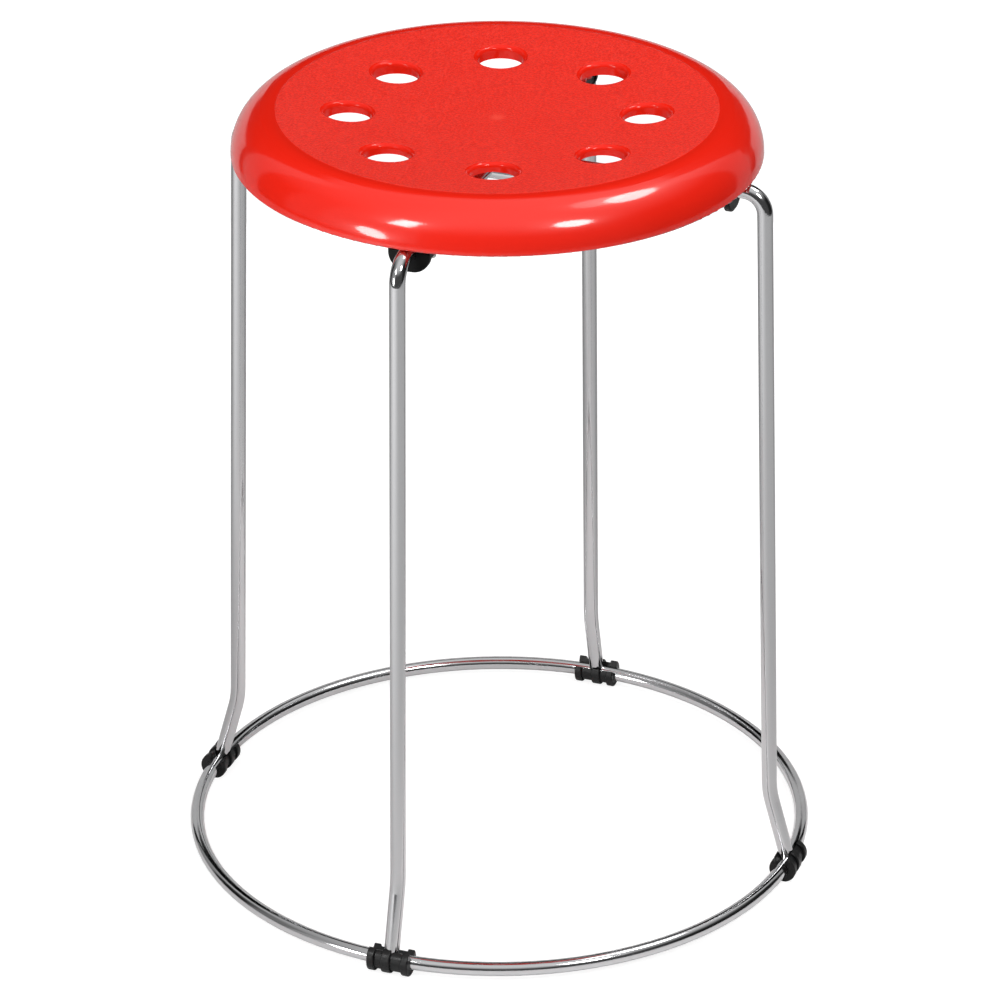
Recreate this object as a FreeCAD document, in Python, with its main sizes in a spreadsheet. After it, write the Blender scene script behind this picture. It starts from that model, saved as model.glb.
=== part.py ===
"""A stacking stool: a round moulded seat on two crossed rods, a ring at the floor, clips and clamps."""
import FreeCAD, Part
import math
import os
import re
import Sketcher

os.makedirs("parts", exist_ok=True)
doc = FreeCAD.newDocument("stool")

# Driving sizes, millimetres and degrees
SIZES = [
    ("seat_radius", 151, "seat, widest radius"),
    ("rod_height", 434.4, "hoops, height of the rods under the seat"),
    ("rim_over_rod", 5.8, "seat, its widest part over the rods"),
    ("side_round", 25.7, "seat, radius of the rim's side"),
    ("crest_inset", 17, "seat, from the widest part in to where the crest meets the side"),
    ("crest_round", 18, "seat, radius of the rim's crest"),
    ("wall", 2.6, "seat, thickness of the moulding"),
    ("dish_inset", 25.6, "seat, from the widest part in to the dished top"),
    ("dish_over_rim", 25.07, "seat, the dish's edge over the widest part"),
    ("dish_sink", 6.87, "seat, depth of the dish"),
    ("flat_radius", 15, "seat, radius of the flat in the middle of the dish"),
    ("hole_inset", 41.06, "seat, from the dish's edge in to the holes"),
    ("hole_turn", 18.55, "seat, angle of the first hole"),
    ("hole_count", 8, "seat, holes"),
    ("hole_radius", 13.4, "seat, radius of a hole"),
    ("hole_edge", 2.6, "seat, rounding of a hole's upper edge"),
    ("collar_wall", 2.2, "seat, thickness of the collar under a hole"),
    ("collar_depth", 6.5, "seat, depth of a hole with its collar"),
    ("rib_deep", 5, "seat, depth of the ribs under the skin"),
    ("rib_thick", 2, "seat, thickness of a rib"),
    ("rib_inside", 28.3, "seat, inner round rib, from the holes' circle in"),
    ("rib_outside", 23.7, "seat, outer round rib, from the holes' circle out"),
    ("hub_radius", 12, "seat, radius of the hub"),
    ("clamp_inset", 22, "seat, from the widest part in to the clamps' screws"),
    ("web_back", 7.8, "seat, from the screws in to the inner web"),
    ("web_front", 4.6, "seat, from the screws out to the outer web"),
    ("web_thick", 2.5, "seat, thickness of a web"),
    ("web_half", 11, "seat, half the width of a web"),
    ("boss_radius", 4.25, "seat, radius of a screw boss"),
    ("pilot_radius", 1.8, "seat, radius of the hole in a boss"),
    ("pilot_depth", 13, "seat, depth of the hole in a boss"),
    ("saddle_inset", 48, "seat, from the widest part in to the saddles' inner ends"),
    ("rod_radius", 4.5, "hoops, radius of the rod"),
    ("top_bend", 12.9, "hoops, bend over each leg"),
    ("leg_out", 7.55, "hoops, top of a leg beyond the seat's widest part"),
    ("splay", 1.7, "hoops, lean of the legs"),
    ("knee_height", 52.6, "hoops, height of the knee"),
    ("knee_bend", 55, "hoops, bend at the knee"),
    ("leg_end", 2.2, "hoops, height of the leg's end over the ring's middle"),
    ("crank_flat", 20, "lower hoop, half length of the low stretch"),
    ("crank_out", 38, "lower hoop, half length of the crank"),
    ("crank_bend", 20, "lower hoop, bends of the crank"),
    ("foot_out", 12.7, "base ring, from the knee out to its middle line"),
    ("ring_rod", 4.1, "base ring, radius of the rod"),
    ("clip_half", 12.5, "foot clip, half its length"),
    ("clip_radius", 8.1, "foot clip, radius of collars and band"),
    ("clip_flat", 0.5, "foot clip, what its flat takes off underneath"),
    ("clip_waist", 6.65, "foot clip, radius between collars and band"),
    ("clip_collar", 4.3, "foot clip, length of the collar at an end"),
    ("clip_band_start", -4, "foot clip, start of the middle band"),
    ("clip_band_end", 1.5, "foot clip, end of the middle band"),
    ("clip_edge", 0.7, "foot clip, rounding of the collars' edges"),
    ("mouth_out", 20, "foot clip, angle of its mouth's outer edge"),
    ("mouth_in", 55, "foot clip, angle of its mouth's inner edge"),
    ("fit_gap", 0.15, "clearance round the rods"),
    ("leg_gap", 0.4, "clearance round a leg's end in its clip"),
    ("clamp_over_rod", 0.5, "seat clamp, its top over the rod's middle"),
    ("clamp_back", 9, "seat clamp, from the screws in to its end"),
    ("clamp_front", 9, "seat clamp, from the screws out to the flange"),
    ("flange_thick", 3.5, "seat clamp, thickness of the flange"),
    ("clamp_thick", 5, "seat clamp, thickness of the body"),
    ("clamp_half", 11, "seat clamp, half the width of the body"),
    ("barrel_radius", 6.4, "seat clamp, radius of the barrel under the rod"),
    ("flange_half", 12.2, "seat clamp, half the width of the flange"),
    ("flange_deep", 12.6, "seat clamp, height of the flange"),
    ("flange_corner", 10.5, "seat clamp, lower corners of the flange"),
    ("flange_edge", 0.9, "seat clamp, rounding of the flange's edge"),
    ("screw_side", 8, "screws, distance from the rod's middle"),
    ("screw_radius", 1.75, "screws, radius of the shank"),
    ("screw_length", 16, "screws, length under the head"),
    ("screw_point", 3.5, "screws, length of the point"),
    ("screw_tip", 0.4, "screws, radius at the end of the point"),
    ("screw_gap", 0.2, "screws, clearance in the clamp"),
    ("head_radius", 3.1, "screws, radius of the head"),
    ("head_high", 2.5, "screws, height of the head"),
    ("head_round", 1.2, "screws, rounding of the head"),
    ("cross_half", 1.9, "screws, half the length of the cross recess"),
    ("cross_arm", 0.5, "screws, half the width of its arms"),
    ("cross_deep", 1.4, "screws, depth of the cross recess"),
    ("overrun", 20, "how far cuts run past what they cut"),
]

# Radii from the stool's axis, and heights, that follow from them
FOLLOWING = [
    ("crest_radius", "seat_radius - crest_inset", "seat, where the crest meets the side"),
    ("dish_radius", "seat_radius - dish_inset", "seat, radius of the dished top"),
    ("hole_circle", "dish_radius - hole_inset", "seat, circle that the holes stand on"),
    ("rib_inner", "hole_circle - rib_inside", "seat, radius of the inner round rib"),
    ("rib_outer", "hole_circle + rib_outside", "seat, radius of the outer round rib"),
    ("saddle_inner", "seat_radius - saddle_inset", "seat, inner end of a saddle"),
    ("screw_place", "seat_radius - clamp_inset", "screws, distance from the middle of the stool"),
    ("web_inner", "screw_place - web_back", "seat, inner web over a clamp"),
    ("web_outer", "screw_place + web_front", "seat, outer web over a clamp"),
    ("clamp_inner", "screw_place - clamp_back", "seat clamp, inner end"),
    ("clamp_step", "screw_place + clamp_front", "seat clamp, start of the outer flange"),
    ("clamp_outer", "clamp_step + flange_thick", "seat clamp, outer end"),
    ("top_radius", "seat_radius + leg_out", "hoops, where the legs' lines meet the top"),
    ("knee_radius", "top_radius + (rod_height - knee_height) * tan(splay)", "hoops, knee's distance"),
    ("ring_radius", "knee_radius + foot_out", "base ring, radius of its middle line"),
    ("ring_height", "clip_radius - clip_flat", "base ring, height of its middle line"),
    ("widest_height", "rod_height + rim_over_rod", "seat, height where it is widest"),
    ("dish_edge", "widest_height + dish_over_rim", "seat, height of the dish's edge"),
    ("dish_centre", "dish_edge - dish_sink", "seat, height of the dish's centre"),
    ("clamp_top", "rod_height + clamp_over_rod", "seat clamp, height of its top"),
    ("flange_low", "clamp_top - flange_deep", "seat clamp, lowest point of the flange"),
]
NAMES = {name for name, value, note in SIZES + FOLLOWING}

sheet = doc.addObject("Spreadsheet::Sheet", "sizes")
for row, (name, value, note) in enumerate(SIZES + FOLLOWING, start=1):
    sheet.set("A%d" % row, note)
    sheet.set("B%d" % row, "=" + value if isinstance(value, str) else str(value))
    sheet.setAlias("B%d" % row, name)
doc.recompute()


def tied(text):
    """The expression with each name pointed at the sheet."""
    return re.sub(r"[a-z_]+", lambda found: ("sizes." if found.group() in NAMES else "") + found.group(), text)


def size(text):
    """What an expression of the sheet's names is worth now."""
    return float(sheet.evalExpression(text))


# Sizes that follow from others
DISH_ROUND = "((dish_radius ^ 2 + (dish_edge - dish_centre) ^ 2) / (2 * (dish_edge - dish_centre)))"
SIDE_CENTRE = "(seat_radius - side_round)"
DEEP = "(wall + rib_deep)"
HOLE_TOP = "(dish_centre + hole_circle ^ 2 / (2 * %s))" % DISH_ROUND
KICK = "((ring_radius - knee_radius) / (knee_height - ring_height))"
END_RADIUS = "(ring_radius - leg_end * %s)" % KICK
CLAMP_LOW = "(clamp_top - clamp_thick)"
SCREW_TOP = "(%s + screw_length)" % CLAMP_LOW


def side_height(radius, inset):
    """Height of the rim's side at a radius, on the surface or a depth inside it."""
    return "(widest_height + sqrt((side_round - %s) ^ 2 - (%s - %s) ^ 2))" % (inset, radius, SIDE_CENTRE)


def dish_height(radius, inset):
    """Height of the dished top at a radius, on the surface or a depth inside it."""
    return "(dish_centre + %s ^ 2 / (2 * %s) - %s)" % (radius, DISH_ROUND, inset)


def new_body(label):
    body = doc.addObject("PartDesign::Body", label)
    body.Label = label
    return body


def origin_part(body, role):
    return [item for item in body.Origin.OriginFeatures if item.Role == role][0]


def new_sketch(body, name, plane, offset=("0", "0", "0"), turn=None):
    """A sketch on one of the body's own planes, moved by expressions and turned about the stool's axis."""
    sketch = body.newObject("Sketcher::SketchObject", name)
    sketch.AttachmentSupport = [(origin_part(body, plane), "")]
    sketch.MapMode = "FlatFace"
    if turn:
        sketch.AttachmentOffset = FreeCAD.Placement(FreeCAD.Vector(), FreeCAD.Vector(0, 1, 0), size(turn))
        sketch.setExpression("AttachmentOffset.Rotation.Angle", tied(turn))
    for axis, text in zip("xyz", offset):
        if text != "0":
            sketch.setExpression("AttachmentOffset.Base." + axis, tied(text))
    return sketch


def tie(sketch, constraint, text):
    index = sketch.addConstraint(constraint)
    sketch.setExpression("Constraints[%d]" % index, tied(text))


def pin(sketch, shape, end, across, up):
    """Ties one point of the sketch to two expressions."""
    for kind, line, text in (("DistanceX", -2, across), ("DistanceY", -1, up)):
        if text == "0":
            sketch.addConstraint(Sketcher.Constraint("PointOnObject", shape, end, line))
        else:
            tie(sketch, Sketcher.Constraint(kind, -1, 1, shape, end, size(text)), text)


def arc_between(start, end, centre):
    """The arc from start to end, anticlockwise."""
    circle = Part.Circle(centre, FreeCAD.Vector(0, 0, 1), (start - centre).Length)
    first, last = (math.atan2(spot.y - centre.y, spot.x - centre.x) for spot in (start, end))
    if last < first:
        last += math.tau
    return Part.ArcOfCircle(circle, first, last)


def bowed(start, end, radius, side):
    """An arc between two points that bulges to the left of the way (side 1) or to the right (side -1)."""
    along = end - start
    left = FreeCAD.Vector(-along.y, along.x, 0).normalize()
    drop = math.sqrt(max(radius ** 2 - (along.Length / 2) ** 2, 0))
    centre = (start + end) / 2 - left * drop * side
    return arc_between(end, start, centre) if side > 0 else arc_between(start, end, centre)


def draw(sketch, corners, bows=None, closed=True):
    """Draws an outline whose corners are pairs of expressions. A third expression rounds that corner.
    A bow makes an arc of the stretch after a corner: its radius and the side it bulges to."""
    bows = bows or {}
    count = len(corners)
    spots = [FreeCAD.Vector(size(corner[0]), size(corner[1]), 0) for corner in corners]
    arrive = list(spots)
    leave = list(spots)
    middles = {}
    for i, corner in enumerate(corners):
        if len(corner) == 3:
            back = (spots[i - 1] - spots[i]).normalize()
            on = (spots[(i + 1) % count] - spots[i]).normalize()
            half = back.getAngle(on) / 2
            radius = size(corner[2])
            arrive[i] = spots[i] + back * (radius / math.tan(half))
            leave[i] = spots[i] + on * (radius / math.tan(half))
            middles[i] = spots[i] + (back + on).normalize() * (radius / math.sin(half))
    stretches = {}
    for i in range(count if closed else count - 1):
        start, end = leave[i], arrive[(i + 1) % count]
        if i in bows:
            text, side = bows[i]
            shape = sketch.addGeometry(bowed(start, end, size(text), side))
            tie(sketch, Sketcher.Constraint("Radius", shape, size(text)), text)
            stretches[i] = (shape, 2, 1) if side > 0 else (shape, 1, 2)
        else:
            stretches[i] = (sketch.addGeometry(Part.LineSegment(start, end)), 1, 2)
    for i, corner in enumerate(corners):
        before = stretches.get((i - 1) % count)
        after = stretches.get(i)
        if i in middles:
            tip = sketch.addGeometry(Part.Point(spots[i]), True)
            pin(sketch, tip, 1, corner[0], corner[1])
            turn_left = (spots[i] - spots[i - 1]).cross(spots[(i + 1) % count] - spots[i]).z > 0
            ends = (arrive[i], leave[i]) if turn_left else (leave[i], arrive[i])
            arc = sketch.addGeometry(arc_between(ends[0], ends[1], middles[i]))
            first, last = (1, 2) if turn_left else (2, 1)
            sketch.addConstraint([
                Sketcher.Constraint("PointOnObject", tip, 1, before[0]),
                Sketcher.Constraint("PointOnObject", tip, 1, after[0]),
                Sketcher.Constraint("Tangent", before[0], before[2], arc, first),
                Sketcher.Constraint("Tangent", arc, last, after[0], after[1]),
            ])
            tie(sketch, Sketcher.Constraint("Radius", arc, size(corner[2])), corner[2])
        else:
            if before and after:
                sketch.addConstraint(Sketcher.Constraint("Coincident", before[0], before[2], after[0], after[1]))
            shape, end = (after[0], after[1]) if after else (before[0], before[2])
            pin(sketch, shape, end, corner[0], corner[1])
    return sketch


def draw_circle(sketch, across, up, radius):
    centre = FreeCAD.Vector(size(across), size(up), 0)
    shape = sketch.addGeometry(Part.Circle(centre, FreeCAD.Vector(0, 0, 1), size(radius)))
    pin(sketch, shape, 3, across, up)
    tie(sketch, Sketcher.Constraint("Radius", shape, size(radius)), radius)
    return sketch


def box_corners(left, right, low, high):
    return [(left, low), (right, low), (right, high), (left, high)]


def settle(feature):
    doc.recompute()
    if "Invalid" in feature.State or "Error" in feature.State or feature.Shape.isNull():
        raise RuntimeError("%s failed" % feature.Name)
    return feature


def spin(body, sketch, name, kind="PartDesign::Revolution"):
    """Turns a sketch about its own upright axis."""
    feature = body.newObject(kind, name)
    feature.Profile = sketch
    feature.ReferenceAxis = (sketch, ["V_Axis"])
    return settle(feature)


def push(body, sketch, name, kind, length, both=False, flip=False):
    """Pads or pockets a sketch by a length, to both sides or the other way."""
    feature = body.newObject(kind, name)
    feature.Profile = sketch
    feature.Type = "Length"
    feature.Midplane = both
    feature.Reversed = flip
    feature.setExpression("Length", tied(length))
    return settle(feature)


def repeat(body, originals, name, count):
    """Repeats features about the stool's axis."""
    feature = body.newObject("PartDesign::PolarPattern", name)
    feature.Originals = originals
    feature.Axis = (origin_part(body, "Z_Axis"), [""])
    feature.setExpression("Occurrences", tied(count))
    body.Tip = feature
    return settle(feature)


def mirror(body, originals, name, plane):
    feature = body.newObject("PartDesign::Mirrored", name)
    feature.Originals = originals
    feature.MirrorPlane = (origin_part(body, plane), [""])
    body.Tip = feature
    return settle(feature)


def round_edges(body, name, radius, wanted):
    """Rounds the edges of the body's last shape whose middle passes a test."""
    last = body.Tip
    names = []
    for number, edge in enumerate(last.Shape.Edges, start=1):
        if wanted(edge):
            names.append("Edge%d" % number)
    feature = body.newObject("PartDesign::Fillet", name)
    feature.Base = (last, names)
    feature.setExpression("Radius", tied(radius))
    return settle(feature)


def cut_ring(body, name, radius):
    """Cuts a round groove of the base ring's course out of a body."""
    feature = body.newObject("PartDesign::SubtractiveTorus", name)
    feature.setExpression("Radius1", tied("ring_radius"))
    feature.setExpression("Radius2", tied(radius))
    feature.setExpression("Placement.Base.z", tied("ring_height"))
    return settle(feature)


def place(part, turn):
    part.Placement = FreeCAD.Placement(FreeCAD.Vector(), FreeCAD.Vector(0, 0, 1), turn)


def make_seat():
    seat = new_body("seat")
    rim_in = "(seat_radius - wall)"
    rim_middle = "(seat_radius - wall / 2)"
    crest_in = "(%s + (crest_radius - %s) * (side_round - wall) / side_round)" % (SIDE_CENTRE, SIDE_CENTRE)
    shell = draw(
        new_sketch(seat, "shell_outline", "XZ_Plane"),
        [
            ("0", "dish_centre"),
            ("flat_radius", "dish_centre"),
            ("dish_radius", "dish_edge"),
            ("crest_radius", side_height("crest_radius", "0")),
            ("seat_radius", "widest_height"),
            (rim_middle, "(widest_height - wall / 2)"),
            (rim_in, "widest_height"),
            (crest_in, side_height(crest_in, "wall")),
            ("dish_radius", "(dish_edge - wall)"),
            ("0", "(dish_centre - wall)"),
        ],
        {
            1: (DISH_ROUND, -1),
            2: ("crest_round", 1),
            3: ("side_round", 1),
            4: ("wall / 2", 1),
            5: ("wall / 2", 1),
            6: ("(side_round - wall)", -1),
            7: ("(crest_round - wall)", -1),
            8: (DISH_ROUND, 1),
        },
    )
    spin(seat, shell, "shell")

    # Collars under the holes
    hole_x = "hole_circle * cos(hole_turn)"
    hole_y = "hole_circle * sin(hole_turn)"
    collar_low = "(%s - collar_depth)" % HOLE_TOP
    collar_sketch = new_sketch(seat, "collar_outline", "XY_Plane", ("0", "0", collar_low))
    draw_circle(collar_sketch, hole_x, hole_y, "hole_radius + collar_wall")
    collar = push(seat, collar_sketch, "collar", "PartDesign::Pad", "collar_depth - wall / 2")
    repeat(seat, [collar], "collars", "hole_count")

    # Round ribs and hub
    for name, radius in (("hub_rib", "hub_radius"), ("inner_rib", "rib_inner"), ("outer_rib", "rib_outer")):
        sketch = new_sketch(seat, name + "_outline", "XZ_Plane")
        near = "(%s - rib_thick / 2)" % radius
        far = "(%s + rib_thick / 2)" % radius
        draw(sketch, box_corners(near, far, dish_height(radius, DEEP), dish_height(radius, "wall / 2")))
        spin(seat, sketch, name)

    # Radial ribs between the holes
    mid_side = "(side_round - wall / 2)"
    rib_low = dish_height("dish_radius", DEEP)
    rib_end = "(%s + sqrt(%s ^ 2 - (%s - widest_height) ^ 2))" % (SIDE_CENTRE, mid_side, rib_low)
    spoke_sketch = new_sketch(seat, "spoke_outline", "XZ_Plane", turn="hole_turn + 180 / hole_count")
    draw(
        spoke_sketch,
        [
            ("hub_radius", dish_height("hub_radius", DEEP)),
            ("dish_radius", rib_low),
            (rib_end, rib_low),
            ("crest_radius", side_height("crest_radius", "wall / 2")),
            ("dish_radius", "(dish_edge - wall / 2)"),
            ("hub_radius", dish_height("hub_radius", "wall / 2")),
        ],
        {0: (DISH_ROUND, -1), 2: (mid_side, -1), 4: (DISH_ROUND, 1)},
    )
    spoke = push(seat, spoke_sketch, "spoke", "PartDesign::Pad", "rib_thick", both=True)
    repeat(seat, [spoke], "spokes", "hole_count")

    # Holes with rounded upper edges
    hole_sketch = new_sketch(seat, "hole_outline", "XY_Plane", ("0", "0", "dish_edge"))
    draw_circle(hole_sketch, hole_x, hole_y, "hole_radius")
    hole = push(seat, hole_sketch, "hole", "PartDesign::Pocket", "overrun")
    repeat(seat, [hole], "holes", "hole_count")
    upper = size(HOLE_TOP) - size("hole_edge")

    def on_hole_edge(edge):
        box = edge.BoundBox
        spot = box.Center
        off_circle = abs(math.hypot(spot.x, spot.y) - size("hole_circle"))
        across = max(box.XLength, box.YLength)
        return box.ZMin > upper and off_circle < size("wall") and across > size("hole_radius")

    round_edges(seat, "hole_edges", "hole_edge", on_hole_edge)

    # Webs and screw bosses over each clamp
    features = []
    web_top = "dish_edge - wall"
    for name, start in (("web_in", "web_inner"), ("web_out", "web_outer")):
        sketch = new_sketch(seat, name + "_outline", "YZ_Plane", ("0", "0", start))
        draw(sketch, box_corners("-web_half", "web_half", "clamp_top", web_top))
        features.append(push(seat, sketch, name, "PartDesign::Pad", "web_thick"))
    for name, side in (("boss_left", "screw_side"), ("boss_right", "-screw_side")):
        sketch = new_sketch(seat, name + "_outline", "XY_Plane", ("0", "0", "clamp_top"))
        draw_circle(sketch, "screw_place", side, "boss_radius")
        features.append(push(seat, sketch, name, "PartDesign::Pad", "dish_edge - wall / 2 - clamp_top"))
    for name, side in (("pilot_left", "screw_side"), ("pilot_right", "-screw_side")):
        sketch = new_sketch(seat, name + "_outline", "XY_Plane", ("0", "0", "clamp_top + pilot_depth"))
        draw_circle(sketch, "screw_place", side, "pilot_radius")
        features.append(push(seat, sketch, name, "PartDesign::Pocket", "pilot_depth + overrun"))

    # Saddle over the rod
    half = "(rod_radius + fit_gap)"
    saddle = new_sketch(seat, "saddle_outline", "YZ_Plane", ("0", "0", "seat_radius + overrun"))
    draw(
        saddle,
        [
            ("-" + half, "rod_height - overrun"),
            (half, "rod_height - overrun"),
            (half, "rod_height"),
            ("0", "rod_height + " + half),
            ("-" + half, "rod_height"),
        ],
        {2: (half, -1), 3: (half, -1)},
    )
    length = "seat_radius + overrun - saddle_inner"
    features.append(push(seat, saddle, "saddle", "PartDesign::Pocket", length))
    pattern = seat.newObject("PartDesign::PolarPattern", "clamp_places")
    pattern.Originals = features
    pattern.Axis = (origin_part(seat, "Z_Axis"), [""])
    pattern.Occurrences = len(TURNS)
    seat.Tip = pattern
    settle(pattern)
    return seat


def make_hoop(label, middle, turn):
    """A hoop of rod: half of it swept from its middle to a leg's end, mirrored and shaped to the ring."""
    hoop = new_body(label)
    path = new_sketch(hoop, label + "_path", "XZ_Plane")
    draw(
        path,
        middle + [
            ("top_radius", "rod_height", "top_bend"),
            ("knee_radius", "knee_height", "knee_bend"),
            (END_RADIUS, "(ring_height + leg_end)"),
        ],
        closed=False,
    )
    section = new_sketch(hoop, label + "_section", "YZ_Plane")
    draw_circle(section, "0", middle[0][1], "rod_radius")
    half = hoop.newObject("PartDesign::AdditivePipe", label + "_half")
    half.Profile = section
    half.Spine = path
    settle(half)
    mirror(hoop, [half], label + "_whole", "YZ_Plane")
    cut_ring(hoop, label + "_cope", "ring_rod")
    place(hoop, turn)
    return hoop


def make_ring():
    ring = doc.addObject("Part::Torus", "base_ring")
    ring.Label = "base_ring"
    ring.setExpression("Radius1", tied("ring_radius"))
    ring.setExpression("Radius2", tied("ring_rod"))
    ring.setExpression("Placement.Base.z", tied("ring_height"))
    return settle(ring)


def make_clip(label, turn):
    """A snap-on clip: turned about the ring's course, bored along it and open at the top for the leg."""
    clip = new_body(label)
    turned = new_sketch(clip, label + "_turned", "XY_Plane", ("ring_radius", "0", "ring_height"))
    inner = "(clip_half - clip_collar)"
    draw(
        turned,
        [
            ("0", "-clip_half"),
            ("clip_radius", "-clip_half", "clip_edge"),
            ("clip_radius", "-" + inner, "clip_edge"),
            ("clip_waist", "-" + inner),
            ("clip_waist", "clip_band_start"),
            ("clip_radius", "clip_band_start", "clip_edge"),
            ("clip_radius", "clip_band_end", "clip_edge"),
            ("clip_waist", "clip_band_end"),
            ("clip_waist", inner),
            ("clip_radius", inner, "clip_edge"),
            ("clip_radius", "clip_half", "clip_edge"),
            ("0", "clip_half"),
        ],
    )
    spin(clip, turned, label + "_body")
    cut_ring(clip, label + "_bore", "ring_rod + fit_gap")

    # Mouth at the top
    mouth = new_sketch(clip, label + "_mouth_outline", "XZ_Plane")
    draw(
        mouth,
        [
            ("ring_radius", "ring_height"),
            ("ring_radius + overrun * tan(mouth_out)", "ring_height + overrun"),
            ("ring_radius - overrun * tan(mouth_in)", "ring_height + overrun"),
        ],
    )
    push(clip, mouth, label + "_mouth", "PartDesign::Pocket", "clip_half * 2 + overrun", both=True)

    # Room for the leg's end
    room = clip.newObject("PartDesign::SubtractiveCylinder", label + "_room")
    room.setExpression("Radius", tied("rod_radius + leg_gap"))
    room.setExpression("Height", tied("overrun"))
    room.Placement = FreeCAD.Placement(FreeCAD.Vector(), FreeCAD.Vector(0, -1, 0), size("atan(%s)" % KICK))
    room.setExpression("Placement.Base.x", tied("ring_radius - (leg_end - leg_gap) * %s" % KICK))
    room.setExpression("Placement.Base.z", tied("ring_height + leg_end - leg_gap"))
    room.setExpression("Placement.Rotation.Angle", tied("atan(%s)" % KICK))
    settle(room)

    # Flat that stands on the floor
    flat = new_sketch(clip, label + "_flat_outline", "XZ_Plane")
    near = "(ring_radius - overrun)"
    far = "(ring_radius + overrun)"
    draw(flat, [(near, "0"), (near, "-overrun"), (far, "-overrun"), (far, "0")])
    push(clip, flat, label + "_flat", "PartDesign::Pocket", "clip_half * 2 + overrun", both=True)
    place(clip, turn)
    return clip


def make_clamp(label, turn):
    """A clamp that holds a rod up into the seat: a block with a barrel, and a rounded flange outside."""
    clamp = new_body(label)
    block = new_sketch(clamp, label + "_block_outline", "YZ_Plane", ("0", "0", "clamp_inner"))
    barrel = "sqrt(barrel_radius ^ 2 - (rod_height - %s) ^ 2)" % CLAMP_LOW
    draw(
        block,
        [
            ("-clamp_half", "clamp_top"),
            ("-clamp_half", CLAMP_LOW),
            ("-" + barrel, CLAMP_LOW),
            (barrel, CLAMP_LOW),
            ("clamp_half", CLAMP_LOW),
            ("clamp_half", "clamp_top"),
        ],
        {2: ("barrel_radius", -1)},
    )
    push(clamp, block, label + "_block", "PartDesign::Pad", "clamp_step - clamp_inner")
    flange = new_sketch(clamp, label + "_flange_outline", "YZ_Plane", ("0", "0", "clamp_step"))
    draw(
        flange,
        [
            ("-flange_half", "clamp_top"),
            ("-flange_half", "flange_low", "flange_corner"),
            ("flange_half", "flange_low", "flange_corner"),
            ("flange_half", "clamp_top"),
        ],
    )
    push(clamp, flange, label + "_flange", "PartDesign::Pad", "clamp_outer - clamp_step")

    outer = size("clamp_outer")

    def on_flange_edge(edge):
        box = edge.BoundBox
        return abs(box.XMin - outer) < size("fit_gap") and box.XLength < size("fit_gap")

    round_edges(clamp, label + "_flange_edge", "flange_edge", on_flange_edge)

    # Groove for the rod and holes for the screws
    groove = new_sketch(clamp, label + "_groove_outline", "YZ_Plane", ("0", "0", "clamp_outer + overrun"))
    draw_circle(groove, "0", "rod_height", "rod_radius + fit_gap")
    length = "clamp_outer - clamp_inner + overrun + overrun"
    push(clamp, groove, label + "_groove", "PartDesign::Pocket", length)
    for name, side in (("_hole_left", "screw_side"), ("_hole_right", "-screw_side")):
        sketch = new_sketch(clamp, label + name + "_outline", "XY_Plane", ("0", "0", "clamp_top + overrun"))
        draw_circle(sketch, "screw_place", side, "screw_radius + screw_gap")
        push(clamp, sketch, label + name, "PartDesign::Pocket", "clamp_thick + overrun + overrun")
    place(clamp, turn)
    return clamp


def make_screws(label, turn):
    """The two screws of a clamp."""
    screws = new_body(label)
    head_low = "(%s - head_high)" % CLAMP_LOW
    turned = new_sketch(screws, label + "_turned", "XZ_Plane", ("screw_place", "0", "-screw_side"))
    draw(
        turned,
        [
            ("0", head_low),
            ("head_radius", head_low, "head_round"),
            ("head_radius", CLAMP_LOW),
            ("screw_radius", CLAMP_LOW),
            ("screw_radius", "(%s - screw_point)" % SCREW_TOP),
            ("screw_tip", SCREW_TOP),
            ("0", SCREW_TOP),
        ],
    )
    screw = spin(screws, turned, label + "_screw")
    cross = new_sketch(screws, label + "_cross_outline", "XY_Plane", ("screw_place", "screw_side", head_low))
    arm = "cross_arm"
    tip = "cross_half"
    draw(
        cross,
        [
            (arm, "-" + tip), (arm, "-" + arm), (tip, "-" + arm), (tip, arm),
            (arm, arm), (arm, tip), ("-" + arm, tip), ("-" + arm, arm),
            ("-" + tip, arm), ("-" + tip, "-" + arm), ("-" + arm, "-" + arm), ("-" + arm, "-" + tip),
        ],
    )
    recess = push(screws, cross, label + "_cross", "PartDesign::Pocket", "cross_deep", flip=True)
    if recess.Shape.Volume >= screw.Shape.Volume:
        raise RuntimeError("the cross recess cut nothing")
    mirror(screws, [screw, recess], label + "_pair", "XZ_Plane")
    place(screws, turn)
    return screws


TURNS = {"right": 0, "back": 90, "left": 180, "front": 270}

parts = [make_seat(), make_ring()]
parts.append(make_hoop("leg_hoop_upper", [("0", "rod_height")], TURNS["back"]))
low = "(rod_height - rod_radius * 2)"
crank = [("0", low), ("crank_flat", low, "crank_bend"), ("crank_out", "rod_height", "crank_bend")]
parts.append(make_hoop("leg_hoop_lower", crank, TURNS["right"]))
for side, turn in TURNS.items():
    parts.append(make_clip("foot_clip_" + side, turn))
    parts.append(make_clamp("seat_clamp_" + side, turn))
    parts.append(make_screws("clamp_screws_" + side, turn))

doc.recompute()
for item in doc.Objects:
    if "Invalid" in item.State or "Error" in item.State:
        raise RuntimeError("%s is in error" % item.Name)
for part in parts:
    if part.Shape.isNull() or not part.Shape.isValid():
        raise RuntimeError("%s has no valid shape" % part.Label)
    part.Shape.exportStep(os.path.join("parts", part.Label + ".step"))
    print(part.Label, len(part.Shape.Solids), round(part.Shape.Volume), part.Shape.BoundBox)
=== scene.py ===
"""Looks of the stacking stool: materials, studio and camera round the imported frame."""

import math

import bpy
from mathutils import Matrix, Vector

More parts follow.
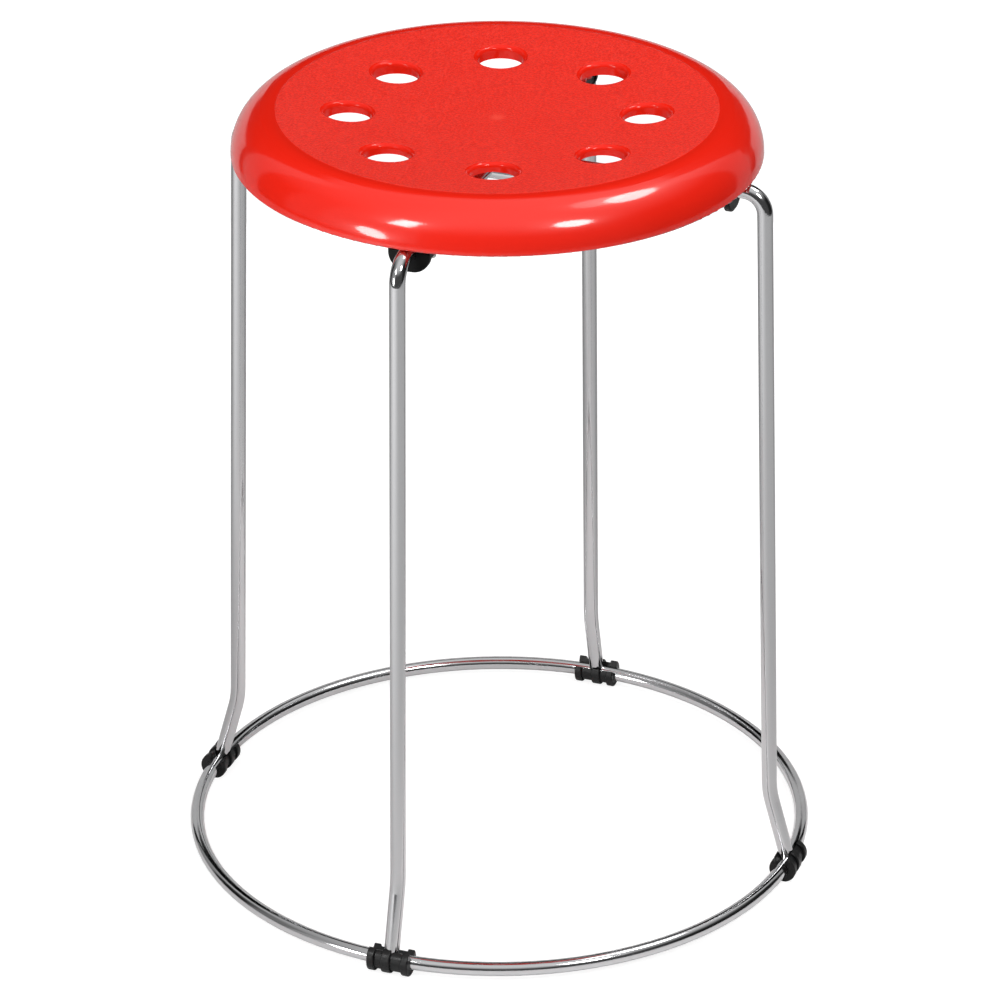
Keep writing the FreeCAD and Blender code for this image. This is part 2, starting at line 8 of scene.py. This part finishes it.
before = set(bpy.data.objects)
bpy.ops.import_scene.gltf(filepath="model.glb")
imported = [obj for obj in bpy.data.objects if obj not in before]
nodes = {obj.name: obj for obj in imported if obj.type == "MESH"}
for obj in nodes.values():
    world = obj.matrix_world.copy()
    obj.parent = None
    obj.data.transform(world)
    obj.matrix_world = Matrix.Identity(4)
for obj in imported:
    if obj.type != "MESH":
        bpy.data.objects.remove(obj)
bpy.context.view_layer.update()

# The seat, in metres
SEAT_TOP = 0.4584
DISH_RADIUS = 0.1254
GATE_RADIUS = 0.006

# The studio. Its turns count from the photograph's right, anticlockwise seen from above
PHOTO_TURN = math.radians(20)
FLOOR_RADIUS = 1.75
WALL_BEHIND = 0.9
WALL_HALF = 0.9
WALL_HIGH_LEFT = 0.6
WALL_HIGH_RIGHT = 0.54

# The photograph's camera
LENS_MM = 178.35
SENSOR_MM = 36
FRAME_SHIFT = 0.0016
EYE_AWAY = 2.5933
EYE_HIGH = 1.52735
LOOKS_DOWN_DEGREES = 26.82
ROLL = -0.003

# Colours, linear
RED = (0.83, 0.0165, 0.0063, 1)
GRAIN_DARK = (0.76, 0.010, 0.002, 1)
GRAIN_LIGHT = (0.98, 0.033, 0.015, 1)
GATE_RED = (0.97, 0.065, 0.04, 1)
CHROME = (0.60, 0.60, 0.61, 1)
CLIP_BLACK = (0.006, 0.006, 0.0063, 1)
# Painted shade: the clamps under the seat get a darker black than the clips, for the shade they sit in
CLAMP_BLACK_PAINTED_SHADE = (0.003, 0.003, 0.003, 1)
ZINC = (0.55, 0.55, 0.53, 1)
PAPER = (0.89, 0.89, 0.89, 1)
WALL = (0.67, 0.67, 0.67, 1)
SHADOW_GREY = (0.3, 0.3, 0.3, 1)
WHITE = (1, 1, 1, 1)
BLACK = (0, 0, 0, 1)


def sine(degrees):
    return math.sin(math.radians(degrees))


def cosine(degrees):
    return math.cos(math.radians(degrees))


def new_material(name):
    """A node material, its tree and its shader."""
    material = bpy.data.materials.new(name)
    material.use_nodes = True
    return material, material.node_tree, material.node_tree.nodes["Principled BSDF"]


def add(tree, kind, **values):
    """Adds a node. Values name its properties, or its inputs."""
    node = tree.nodes.new(kind)
    for key, value in values.items():
        if hasattr(node, key):
            setattr(node, key, value)
        else:
            node.inputs[key].default_value = value
    return node


def ramp(tree, source, low, high, start, end):
    """Maps a value's stretch from low..high smoothly to start..end."""
    node = add(tree, "ShaderNodeMapRange", interpolation_type="SMOOTHSTEP")
    for name, value in (("From Min", low), ("From Max", high), ("To Min", start), ("To Max", end)):
        node.inputs[name].default_value = value
    tree.links.new(source, node.inputs["Value"])
    return node.outputs["Result"]


def calculate(tree, operation, first, second=0.0, third=0.0):
    """Arithmetic on numbers or other nodes' outputs."""
    node = add(tree, "ShaderNodeMath", operation=operation)
    for socket, value in zip(node.inputs, (first, second, third)):
        if isinstance(value, bpy.types.NodeSocket):
            tree.links.new(value, socket)
        else:
            socket.default_value = value
    return node.outputs[0]


def times(tree, first, second):
    return calculate(tree, "MULTIPLY", first, second)


def plus(tree, first, second):
    return calculate(tree, "ADD", first, second)


def from_to(tree, share, none, full):
    """A value that goes from none to full with a share of 0 to 1."""
    return calculate(tree, "MULTIPLY_ADD", share, full - none, none)


def split(tree, source):
    """The three coordinates of a point or direction."""
    node = add(tree, "ShaderNodeSeparateXYZ")
    tree.links.new(source, node.inputs[0])
    return node.outputs


def place_of(tree):
    """The point shaded, in the object's own metres, and its three coordinates."""
    point = add(tree, "ShaderNodeTexCoord").outputs["Object"]
    return point, split(tree, point)


def along(tree, x, y, way):
    """How far a point lies along a level direction."""
    return plus(tree, times(tree, x, way.x), times(tree, y, way.y))


def level_length(tree, x, y):
    """How far a point lies from the upright axis."""
    return calculate(tree, "SQRT", plus(tree, times(tree, x, x), times(tree, y, y)))


def noise(tree, point, scale, detail=2.0, rough=0.5):
    node = add(tree, "ShaderNodeTexNoise", Scale=scale, Detail=detail, Roughness=rough)
    tree.links.new(point, node.inputs["Vector"])
    return node.outputs["Fac"]


def bump(tree, shader, height, distance, strength):
    node = add(tree, "ShaderNodeBump", Distance=distance, Strength=strength)
    tree.links.new(height, node.inputs["Height"])
    tree.links.new(node.outputs["Normal"], shader.inputs["Normal"])


def blend(tree, share, first, second):
    """A colour between two, each a colour or another node's output."""
    node = add(tree, "ShaderNodeMix", data_type="RGBA")
    tree.links.new(share, node.inputs["Factor"])
    for name, colour in (("A", first), ("B", second)):
        if isinstance(colour, bpy.types.NodeSocket):
            tree.links.new(colour, node.inputs[name])
        else:
            node.inputs[name].default_value = colour
    return node.outputs["Result"]


def seat_plastic():
    """Glossy red moulding whose dished top is grained and matt, with a pale gate mark in its middle."""
    material, tree, shader = new_material("seat_red")
    point, (x, y, z) = place_of(tree)
    radius = level_length(tree, x, y)
    inside = ramp(tree, radius, DISH_RADIUS - 0.0008, DISH_RADIUS + 0.0008, 1, 0)

    # The top's face, without the walls of the holes and the underside
    facing_up = split(tree, add(tree, "ShaderNodeTexCoord").outputs["Normal"])[2]
    above = times(tree, ramp(tree, z, SEAT_TOP - 0.004, SEAT_TOP - 0.003, 0, 1),
                  ramp(tree, facing_up, 0.96, 0.985, 0, 1))
    grained = times(tree, inside, above)
    hole_wall = calculate(tree, "SUBTRACT", inside, grained)

    # Fine grain with darker and lighter specks
    mottle = ramp(tree, noise(tree, point, 650, 3, 0.7), 0.36, 0.64, 0, 1)
    gate = times(tree, ramp(tree, radius, 0.001, GATE_RADIUS, 1, 0), above)
    matt_red = blend(tree, gate, blend(tree, mottle, GRAIN_DARK, GRAIN_LIGHT), GATE_RED)
    tree.links.new(blend(tree, grained, RED, matt_red), shader.inputs["Base Color"])
    bump(tree, shader, times(tree, grained, noise(tree, point, 900, 2, 0.6)), 0.0007, 1)

    # Gloss: a sharp skin under a soft one on the rim, matt on the top, dull in the holes
    shader.inputs["IOR"].default_value = 1.5
    shader.inputs["Coat Roughness"].default_value = 0.3
    tree.links.new(from_to(tree, grained, 0.09, 0.42), shader.inputs["Roughness"])
    tree.links.new(from_to(tree, inside, 0.3, 0), shader.inputs["Coat Weight"])
    tree.links.new(from_to(tree, hole_wall, 0.5, 0.25), shader.inputs["Specular IOR Level"])
    return material


def plain(name, colour, uneven_scale, smoothest, roughest):
    """One colour whose roughness varies a little over the surface."""
    material, tree, shader = new_material(name)
    point = place_of(tree)[0]
    shader.inputs["Base Color"].default_value = colour
    rough = ramp(tree, noise(tree, point, uneven_scale, 3), 0.3, 0.7, smoothest, roughest)
    tree.links.new(rough, shader.inputs["Roughness"])
    return material, tree, shader, point


def chrome():
    material, tree, shader, point = plain("chrome", CHROME, 60, 0.08, 0.13)
    shader.inputs["Metallic"].default_value = 1
    bump(tree, shader, noise(tree, point, 45), 0.0005, 0.05)
    return material


def black_plastic(name, colour, shine):
    material, tree, shader, point = plain(name, colour, 300, 0.32, 0.45)
    shader.inputs["Specular IOR Level"].default_value = shine
    bump(tree, shader, noise(tree, point, 900), 0.0002, 0.2)
    return material


def zinc():
    material, _, shader, _ = plain("zinc", ZINC, 500, 0.25, 0.4)
    shader.inputs["Metallic"].default_value = 1
    return material


def dress():
    """Gives each CAD node its material."""
    looks = {
        # Painted shade: the clamps' black plastic is darker and duller than the clips', for the shade
        # under the seat
        "seat_clamp": black_plastic("clamp_black_painted_shade", CLAMP_BLACK_PAINTED_SHADE, 0.15),
        "foot_clip": black_plastic("clip_black", CLIP_BLACK, 0.28),
        "clamp_screws": zinc(),
        "leg_hoop": chrome(),
    }
    looks["base_ring"] = looks["leg_hoop"]
    looks["seat"] = seat_plastic()
    for name, node in nodes.items():
        look = next(look for start, look in looks.items() if name.startswith(start))
        node.data.materials.clear()
        node.data.materials.append(look)


def studio_direction(turn, rise):
    """A direction of the studio: turn from the photograph's right, rise above the horizon, in degrees."""
    turn = math.radians(turn) + PHOTO_TURN
    rise = math.radians(rise)
    return Vector((math.cos(turn) * math.cos(rise), math.sin(turn) * math.cos(rise), math.sin(rise)))


def lamp(name, turn, rise, distance, width, height, brightness, tilt=0, shape="ELLIPSE"):
    """A soft light that faces the seat, as bright as a white wall times brightness."""
    light = bpy.data.lights.new(name, "AREA")
    light.shape = shape
    light.size, light.size_y = width, height
    light.energy = brightness * math.pi * width * height * (math.pi / 4 if shape == "ELLIPSE" else 1)
    lamp_object = bpy.data.objects.new(name, light)
    away = studio_direction(turn, rise)
    lamp_object.matrix_world = (
        Matrix.Translation(Vector((0, 0, SEAT_TOP)) + away * distance)
        @ away.to_track_quat("Z", "Y").to_matrix().to_4x4()
        @ Matrix.Rotation(math.radians(tilt), 4, "Z")
    )
    bpy.context.scene.collection.objects.link(lamp_object)


def make_lamps():
    """Two lamps on the left and three on the right, whose reflections lie on the rim."""
    lamp("left_low", turn=-141.5, rise=0.5, distance=2.2, width=0.46, height=0.76, brightness=17, tilt=24)
    lamp("left_high", turn=-132, rise=34, distance=2.3, width=0.36, height=0.57, brightness=21, tilt=-8,
         shape="RECTANGLE")
    lamp("right_high", turn=-54.7, rise=38.5, distance=2.2, width=0.55, height=0.54, brightness=21)
    lamp("right_strip", turn=12, rise=58.5, distance=2.1, width=0.74, height=0.52, brightness=14)
    lamp("right_strip_top", turn=6, rise=67, distance=2.15, width=0.8, height=0.5, brightness=2.2)


def show(tree, to_camera, to_others):
    """Ends a material with one shader for the camera and another for every other ray."""
    choice = add(tree, "ShaderNodeMixShader")
    tree.links.new(add(tree, "ShaderNodeLightPath").outputs["Is Camera Ray"], choice.inputs[0])
    tree.links.new(to_others.outputs[0], choice.inputs[1])
    tree.links.new(to_camera.outputs[0], choice.inputs[2])
    tree.links.new(choice.outputs[0], tree.nodes["Material Output"].inputs["Surface"])


def floor_paper():
    """White paper that the camera sees white with the stool's shadow, and that reflections see with
    painted light: its colour is brighter in some places than in others.
    """
    material, tree, shader = new_material("floor_paper")
    x, y = place_of(tree)[1][:2]
    behind = along(tree, x, y, studio_direction(90, 0))
    right = along(tree, x, y, studio_direction(0, 0))
    radius = level_length(tree, x, y)

    # Painted light: the paper's colour is brightest round the stool's foot and in front on the left, and
    # darkest behind
    lit = ramp(tree, behind, 0, 0.3, 0.61, 0.45)
    painted_front_left = times(tree, ramp(tree, right, -0.7, 0.3, 1, 0), ramp(tree, behind, -0.35, 0.2, 0.32, 0))
    painted_wide_pool = ramp(tree, radius, 0.2, 0.5, 0.13, 0)
    painted_narrow_pool = ramp(tree, radius, 0.2, 0.26, 0.22, 0)
    for more in (painted_front_left, painted_wide_pool, painted_narrow_pool):
        lit = plus(tree, lit, more)
    shader.inputs["Roughness"].default_value = 0.9
    tree.links.new(blend(tree, lit, BLACK, PAPER), shader.inputs["Base Color"])

    # The glow is full in the wall's shadow, and lets the stool's shadow show before it
    glow = add(tree, "ShaderNodeEmission", Color=WHITE)
    tree.links.new(ramp(tree, behind, 0.5, 0.85, 0.85, 1), glow.inputs["Strength"])
    both = add(tree, "ShaderNodeAddShader")
    tree.links.new(glow.outputs[0], both.inputs[0])
    tree.links.new(add(tree, "ShaderNodeBsdfDiffuse", Color=SHADOW_GREY).outputs[0], both.inputs[1])
    show(tree, both, shader)
    return material


def wall_paper():
    """Grey paper that only reflections see, so that the stool can be looked at from behind."""
    material, tree, shader = new_material("wall_paper")
    shader.inputs["Roughness"].default_value = 0.9
    shader.inputs["Base Color"].default_value = WALL
    show(tree, add(tree, "ShaderNodeBsdfTransparent"), shader)
    return material


def make_floor():
    """A round sheet that the stool stands on."""
    bpy.ops.mesh.primitive_circle_add(vertices=128, radius=FLOOR_RADIUS, fill_type="NGON")
    floor = bpy.context.object
    floor.name = "floor"
    floor.data.materials.append(floor_paper())


def make_wall():
    """A low wall behind the stool, a little higher on the left."""
    back = studio_direction(90, 0) * WALL_BEHIND
    side = studio_direction(0, 0) * WALL_HALF
    high_left, high_right = Vector((0, 0, WALL_HIGH_LEFT)), Vector((0, 0, WALL_HIGH_RIGHT))
    corners = [back - side, back + side, back + side + high_right, back - side + high_left]
    mesh = bpy.data.meshes.new("wall")
    mesh.from_pydata(corners, [], [(0, 1, 2, 3)])
    wall = bpy.data.objects.new("wall", mesh)
    bpy.context.scene.collection.objects.link(wall)
    mesh.materials.append(wall_paper())


def make_world():
    """A dim room under a bright ceiling, with a dark window behind, white where the camera looks."""
    world = bpy.data.worlds.new("room")
    bpy.context.scene.world = world
    world.use_nodes = True
    tree = world.node_tree
    tree.nodes.clear()
    x, y, rise = split(tree, add(tree, "ShaderNodeTexCoord").outputs["Generated"])
    level = level_length(tree, x, y)

    def near(turn, start, end):
        """Rises from nothing at start degrees off a turn of the studio to one at end degrees off it."""
        toward = calculate(tree, "DIVIDE", along(tree, x, y, studio_direction(turn, 0)), level)
        return ramp(tree, toward, cosine(start), cosine(end), 0, 1)

    # The ceiling begins higher on the right and is dimmer behind on the left
    lower = times(tree, near(-5, 60, 25), 0.12)
    ceiling = ramp(tree, calculate(tree, "SUBTRACT", rise, lower), sine(18), sine(60), 0.02, 0.8)
    back_left = along(tree, x, y, studio_direction(155, 0))
    ceiling = times(tree, ceiling, ramp(tree, back_left, 0, 0.75, 1, 0.5))

    # The dark window behind, between two pale posts
    in_window = near(90, 45.5, 43.5)
    at_posts = calculate(tree, "SUBTRACT", near(90, 62, 59), in_window)
    window = times(tree, in_window, ramp(tree, rise, sine(46), sine(52), 1, 0))
    posts = times(tree, at_posts, ramp(tree, rise, sine(45), sine(60), 0.3, 0))
    room = times(tree, ceiling, calculate(tree, "SUBTRACT", 1.0, window))
    room = plus(tree, room, posts)

    # The side of the camera, and two panels on the left
    room = plus(tree, room, times(tree, near(-95, 80, 50), 0.06))
    above_floor = ramp(tree, rise, sine(-14), sine(-5), 0, 1)
    for turn, start, end, strength in ((-147, 28, 18, 0.4), (-176, 16, 8, 0.22)):
        panel = times(tree, near(turn, start, end), above_floor)
        room = calculate(tree, "MAXIMUM", room, times(tree, panel, strength))

    strength = add(tree, "ShaderNodeMix", data_type="FLOAT")
    tree.links.new(add(tree, "ShaderNodeLightPath").outputs["Is Camera Ray"], strength.inputs["Factor"])
    tree.links.new(room, strength.inputs["A"])
    strength.inputs["B"].default_value = 1.0
    background = add(tree, "ShaderNodeBackground", Color=WHITE)
    tree.links.new(strength.outputs["Result"], background.inputs["Strength"])
    tree.links.new(background.outputs[0], add(tree, "ShaderNodeOutputWorld").inputs[0])


def make_camera():
    """The photograph's camera: 3.01 m from the stool's foot, looking down at 26.8 degrees."""
    camera = bpy.data.cameras.new("camera")
    camera.lens = LENS_MM
    camera.sensor_width = SENSOR_MM
    camera.shift_x = FRAME_SHIFT
    camera.clip_end = 50
    eye = studio_direction(-90, 0) * EYE_AWAY + Vector((0, 0, EYE_HIGH))
    camera_object = bpy.data.objects.new("camera", camera)
    camera_object.matrix_world = (
        Matrix.Translation(eye)
        @ Matrix.Rotation(PHOTO_TURN, 4, "Z")
        @ Matrix.Rotation(math.radians(90 - LOOKS_DOWN_DEGREES), 4, "X")
        @ Matrix.Rotation(ROLL, 4, "Z")
    )
    bpy.context.scene.collection.objects.link(camera_object)
    bpy.context.scene.camera = camera_object


dress()
make_floor()
make_wall()
make_world()
make_lamps()
make_camera()
bpy.context.scene.view_settings.view_transform = "Standard"
